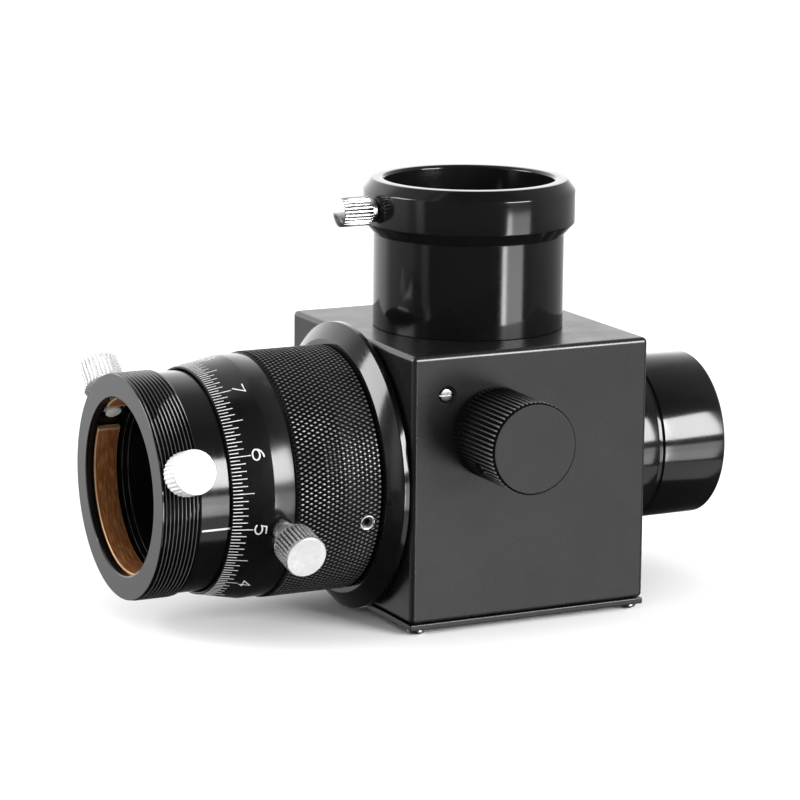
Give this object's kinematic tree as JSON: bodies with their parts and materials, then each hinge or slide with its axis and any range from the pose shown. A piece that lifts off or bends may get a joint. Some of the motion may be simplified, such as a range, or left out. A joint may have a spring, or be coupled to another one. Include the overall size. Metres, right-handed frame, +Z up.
{
  "type": "flip-mirror diagonal",
  "caption": "Flip-mirror diagonal for 1.25 inch fittings: cube housing, eyepiece holder on top, nosepiece, flip knob, and a helical focuser with a threaded camera side.",
  "frame": {"origin": "centre of the base plate's flat underside", "axes": "+X along the optical axis towards the telescope's nosepiece, +Z up the eyepiece axis, and the flip knob on the -Y side"},
  "size_m": [0.1197, 0.0689, 0.0802],
  "materials": {
    "satin_black": "satin black anodised, fine bead-blasted grain",
    "gloss_black": "glossy black anodised, finely turned",
    "knurled_black": "black anodised diamond knurl",
    "carrier_black": "matt black anodised",
    "bright_steel": "bright turned and knurled",
    "dark_steel": "blackened",
    "brass": "brushed, slightly tarnished",
    "nylon": "natural nylon",
    "mirror": "first-surface mirror",
    "white_marking": "engraved and filled white"
  },
  "bodies": {
    "body": {"housing": "satin_black", "base_plate": "satin_black", "base_screw_front_left": "bright_steel", "base_screw_front_right": "bright_steel", "base_screw_rear_left": "bright_steel", "base_screw_rear_right": "bright_steel", "eyepiece_holder": "gloss_black", "nosepiece": "gloss_black", "focuser_flange": "gloss_black", "guide_sleeve": "satin_black", "retaining_collar": "brass", "guide_key": "bright_steel", "knob_bush": "brass", "knob_washer": "nylon", "pivot_screw_front": "bright_steel", "pivot_screw_rear": "bright_steel", "mirror_stop_screw": "dark_steel"},
    "focus_ring": {"scale_ring": "gloss_black", "grip_ring": "knurled_black", "grip_set_screw_1": "dark_steel", "grip_set_screw_2": "dark_steel", "grip_set_screw_3": "dark_steel"},
    "draw_tube": {"draw_tube": "gloss_black", "compression_ring": "brass"},
    "focus_lock_tip": {"focus_lock_screw_tip": "nylon"},
    "focus_lock": {"focus_lock_screw": "bright_steel"},
    "clamp_1_tip": {"clamp_thumbscrew_1_tip": "brass"},
    "clamp_1": {"clamp_thumbscrew_1": "bright_steel"},
    "clamp_2_tip": {"clamp_thumbscrew_2_tip": "brass"},
    "clamp_2": {"clamp_thumbscrew_2": "bright_steel"},
    "eyepiece_clamp_tip": {"eyepiece_thumbscrew_tip": "nylon"},
    "eyepiece_clamp": {"eyepiece_thumbscrew": "bright_steel"},
    "knob": {"knob": "gloss_black", "knob_set_screw": "dark_steel", "knob_shaft": "dark_steel", "crank_arm": "dark_steel", "crank_pin": "bright_steel"},
    "mirror": {"mirror": "mirror", "mirror_carrier": "carrier_black"}
  },
  "joints": [
    {"name": "draw_tube_slide", "type": "slide", "parent": "body", "child": "draw_tube", "axis": [-1, 0, 0], "range_m": [-0.005, 0.005]},
    {"name": "focus_ring_turn", "type": "hinge", "parent": "body", "child": "focus_ring", "pos_m": [-0.04, 0, 0.0262], "axis": [1, 0, 0], "range_deg": [-180, 180]},
    {"name": "knob_turn", "type": "hinge", "parent": "body", "child": "knob", "pos_m": [-0.0078, -0.03, 0.036], "axis": [0, 1, 0], "range_deg": [0, 90]},
    {"name": "mirror_flip", "type": "hinge", "parent": "body", "child": "mirror", "pos_m": [-0.0175, 0, 0.0436], "axis": [0, -1, 0], "range_deg": [0, 45]},
    {"name": "focus_lock_slide", "type": "slide", "parent": "focus_ring", "child": "focus_lock_tip", "axis": [0, -0.9681, -0.2504], "range_m": [0, 0.001]},
    {"name": "focus_lock_turn", "type": "hinge", "parent": "focus_lock_tip", "child": "focus_lock", "pos_m": [-0.04827, 0, 0.0262], "axis": [0, -0.9681, -0.2504], "range_deg": [0, 720]},
    {"name": "clamp_1_slide", "type": "slide", "parent": "draw_tube", "child": "clamp_1_tip", "axis": [0, -0.9573, 0.289], "range_m": [0, 0.001]},
    {"name": "clamp_1_turn", "type": "hinge", "parent": "clamp_1_tip", "child": "clamp_1", "pos_m": [-0.06733, 0, 0.0262], "axis": [0, -0.9573, 0.289], "range_deg": [0, 720]},
    {"name": "clamp_2_slide", "type": "slide", "parent": "draw_tube", "child": "clamp_2_tip", "axis": [0, 0.729, 0.6845], "range_m": [0, 0.001]},
    {"name": "clamp_2_turn", "type": "hinge", "parent": "clamp_2_tip", "child": "clamp_2", "pos_m": [-0.06733, 0, 0.0262], "axis": [0, 0.729, 0.6845], "range_deg": [0, 720]},
    {"name": "eyepiece_clamp_slide", "type": "slide", "parent": "body", "child": "eyepiece_clamp_tip", "axis": [-1, 0, 0], "range_m": [0, 0.001]},
    {"name": "eyepiece_clamp_turn", "type": "hinge", "parent": "eyepiece_clamp_tip", "child": "eyepiece_clamp", "pos_m": [-0.024, 0, 0.0741], "axis": [-1, 0, 0], "range_deg": [0, 720]}
  ],
  "couplings": [
    {"joint": "focus_ring_turn", "follows": "draw_tube_slide", "rad_per_m": 628.3},
    {"joint": "mirror_flip", "follows": "knob_turn", "ratio": 0.5},
    {"joint": "focus_lock_turn", "follows": "focus_lock_slide", "rad_per_m": 12566},
    {"joint": "clamp_1_turn", "follows": "clamp_1_slide", "rad_per_m": 12566},
    {"joint": "clamp_2_turn", "follows": "clamp_2_slide", "rad_per_m": 12566},
    {"joint": "eyepiece_clamp_turn", "follows": "eyepiece_clamp_slide", "rad_per_m": 12566}
  ]
}
